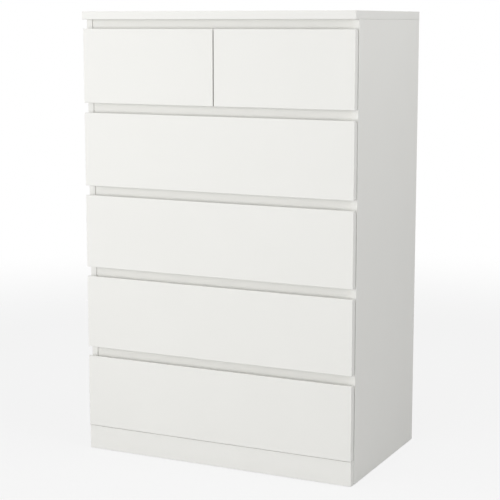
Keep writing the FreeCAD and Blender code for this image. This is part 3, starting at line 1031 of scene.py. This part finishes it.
def make_runners(name):
    low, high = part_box(name + "_runners")
    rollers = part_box(name + "_rollers")
    front_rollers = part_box(name + "_cabinet_rollers")
    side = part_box(name + "_sides")
    foot = side[0].z
    half = STEEL_THICK / 2
    rear_axis = (rollers[0] + rollers[1]) / 2
    front_axis = (front_rollers[0] + front_rollers[1]) / 2
    on_drawer, in_cabinet = bmesh.new(), bmesh.new()
    pins, fixed_pins = bmesh.new(), bmesh.new()
    screws, fixed_screws = bmesh.new(), bmesh.new()
    wheels, fixed_wheels = bmesh.new(), bmesh.new()
    for hand in (-1, 1):
        out = X * hand
        skin = side[1].x if hand > 0 else side[0].x
        track_end = high.x if hand > 0 else low.x
        wall = track_end + hand * TRACK_CLEAR
        face = skin + hand * STEEL_THICK
        wall_face = wall - hand * STEEL_THICK
        web = skin + hand * half
        under = foot - half
        track = high.z - half
        line = [(skin - hand * SIDE_THICK, under), (web, under), (web, track), (track_end, track)]
        add_rolled(on_drawer, line, low.y, high.y)
        base = foot + CHANNEL_BASE + half
        roof = foot + CHANNEL_ROOF - half
        lip = wall - hand * CHANNEL_WIDTH
        web = wall - hand * half
        line = [(lip, base), (web, base), (web, roof), (lip, roof)]
        add_rolled(in_cabinet, line, *CHANNEL_SPAN)
        turn(pins, PIN, Vector((face, rear_axis.y, rear_axis.z)), out, 20)
        turn(fixed_pins, PIN, Vector((wall_face, front_axis.y, front_axis.z)), -out, 20)
        roller_at = rollers[1].x - ROLLER_WIDTH if hand > 0 else rollers[0].x
        fixed_at = front_rollers[1].x - ROLLER_WIDTH if hand > 0 else front_rollers[0].x
        turn(wheels, ROLLER, Vector((roller_at, rear_axis.y, rear_axis.z)), X, 40, True)
        turn(fixed_wheels, ROLLER, Vector((fixed_at, front_axis.y, front_axis.z)), X, 40, True)
        for share in SCREWS_ALONG:
            along = low.y + share * (high.y - low.y)
            add_copy(screws, RUNNER_SCREW, Vector((face, along, foot + SCREW_HEIGHT)), out)
            along = CHANNEL_SPAN[0] + (share + FIXED_SCREW_SHIFT) * (CHANNEL_SPAN[1] - CHANNEL_SPAN[0])
            add_copy(fixed_screws, RUNNER_SCREW, Vector((wall_face, along, foot + FIXED_SCREW_HEIGHT)), -out)
    steel_piece(name + "_runner_profiles", on_drawer, name, name + "_runners")
    steel_piece(name + "_cabinet_channels", in_cabinet, "carcass", "cabinet_runners")
    hand_over(name + "_roller_pins", pins, name, "zinc_steel", ZINC, name + "_runners")
    hand_over(name + "_cabinet_roller_pins", fixed_pins, "carcass", "zinc_steel", ZINC, "cabinet_runners")
    hand_over(name + "_runner_screws", screws, name, "zinc_steel", ZINC)
    hand_over(name + "_cabinet_runner_screws", fixed_screws, "carcass", "zinc_steel", ZINC)
    hand_over(name + "_roller_wheels", wheels, name + "_rollers", "nylon", NYLON, name + "_rollers")
    hand_over(name + "_cabinet_roller_wheels", fixed_wheels, name + "_cabinet_rollers", "nylon", NYLON,
              name + "_cabinet_rollers")


for drawer in DRAWERS:
    make_runners(drawer)

# %% [markdown]
# ## Floor and light
#
# The chest stands on a white sweep in a bright studio. The floor catches a faint contact shadow and then
# thins out into the white of the surroundings, so that no horizon shows from any side. White on white is
# drawn by the angle of the light alone: the fronts face two large soft lights at half their height, which
# reach the rails in the gaps too, and two more from the left; the side turns away from those, and the ones
# on the right and above keep it a pale grey that deepens downwards. A glow from all round fills what is
# left.

# %% Floor
FLOOR_WHITE = 0.6
FLOOR_LIFT = 0.82
FLOOR_RADIUS = 4.0
FADE_START, FADE_END = 1.6, 3.6


def sweep():
    """White paper. What the camera sees of it is lifted towards white, as a studio prints its background."""
    finish = Finish(bpy.data.materials.new("studio_floor"))
    place = finish.node("TexCoord", output="Object")
    distance = finish.node("VectorMath", {"operation": "LENGTH"}, {0: place}, "Value")
    fade = finish.node("MapRange", {"interpolation_type": "SMOOTHSTEP"},
                       {"Value": distance, 1: FADE_START, 2: FADE_END})
    seen = finish.node("LightPath", output="Is Camera Ray")
    paper = finish.noise(30.0, 3.0)
    colour = finish.blend(paper, grey(FLOOR_WHITE - 0.01), grey(FLOOR_WHITE + 0.01))
    diffuse = finish.node("BsdfDiffuse", inputs={"Color": colour})
    lifted = finish.node("Emission", inputs={"Strength": 1.0})
    lit = finish.node("MixShader", inputs={0: seen * FLOOR_LIFT, 1: diffuse, 2: lifted})
    clear = finish.node("BsdfTransparent")
    return finish.end(finish.node("MixShader", inputs={0: fade, 1: lit, 2: clear}))


def make_floor():
    bm = bmesh.new()
    bmesh.ops.create_circle(bm, cap_ends=True, segments=96, radius=FLOOR_RADIUS)
    mesh = as_mesh(bm, "studio_floor")
    mesh.materials.append(sweep())
    floor = bpy.data.objects.new("studio_floor", mesh)
    bpy.context.scene.collection.objects.link(floor)


make_floor()
print("floor ready")

# %% Lights
AIM = Vector((0, 0, 0.6))
ROOM_GLOW = 0.39
LAMPS = (                                 # name, place, side in metres, power in watts
    ("front", (0.0, -4.0, 0.7), 1.4, 27.0),
    ("front_wide", (-1.4, -4.2, 0.9), 3.0, 21.0),
    ("left", (-2.4, -3.4, 1.4), 2.0, 28.0),
    ("far_left", (-3.6, -2.2, 1.2), 2.0, 27.0),
    ("overhead", (0.0, 0.0, 3.4), 3.0, 29.0),
    ("right", (3.4, -0.5, 3.0), 2.0, 34.0),
    ("right_front", (2.8, -1.6, 2.2), 1.6, 8.0),
    ("right_near", (2.0, 0.2, 2.4), 1.2, 7.0),
)


def soft_light(name, place, size, power):
    """A square area light that faces the chest."""
    lamp = bpy.data.lights.new(name, "AREA")
    lamp.shape = "SQUARE"
    lamp.size = size
    lamp.energy = power
    light = bpy.data.objects.new(name, lamp)
    light.location = place
    light.rotation_euler = (Vector(place) - AIM).to_track_quat("Z", "Y").to_euler()
    bpy.context.scene.collection.objects.link(light)


def light_the_room():
    """Soft light from all round, against plain white."""
    room = Finish(bpy.data.worlds.new("studio"))
    soft = room.node("Background", inputs={"Color": grey(1.0), "Strength": ROOM_GLOW})
    white = room.node("Background", inputs={"Color": grey(1.0), "Strength": 1.0})
    seen = room.node("LightPath", output="Is Camera Ray")
    bpy.context.scene.world = room.end(room.node("MixShader", inputs={0: seen, 1: soft, 2: white}), "World")


for lamp in LAMPS:
    soft_light(*lamp)
light_the_room()
bpy.context.scene.view_settings.view_transform = "Standard"
print(len(LAMPS), "lights ready")
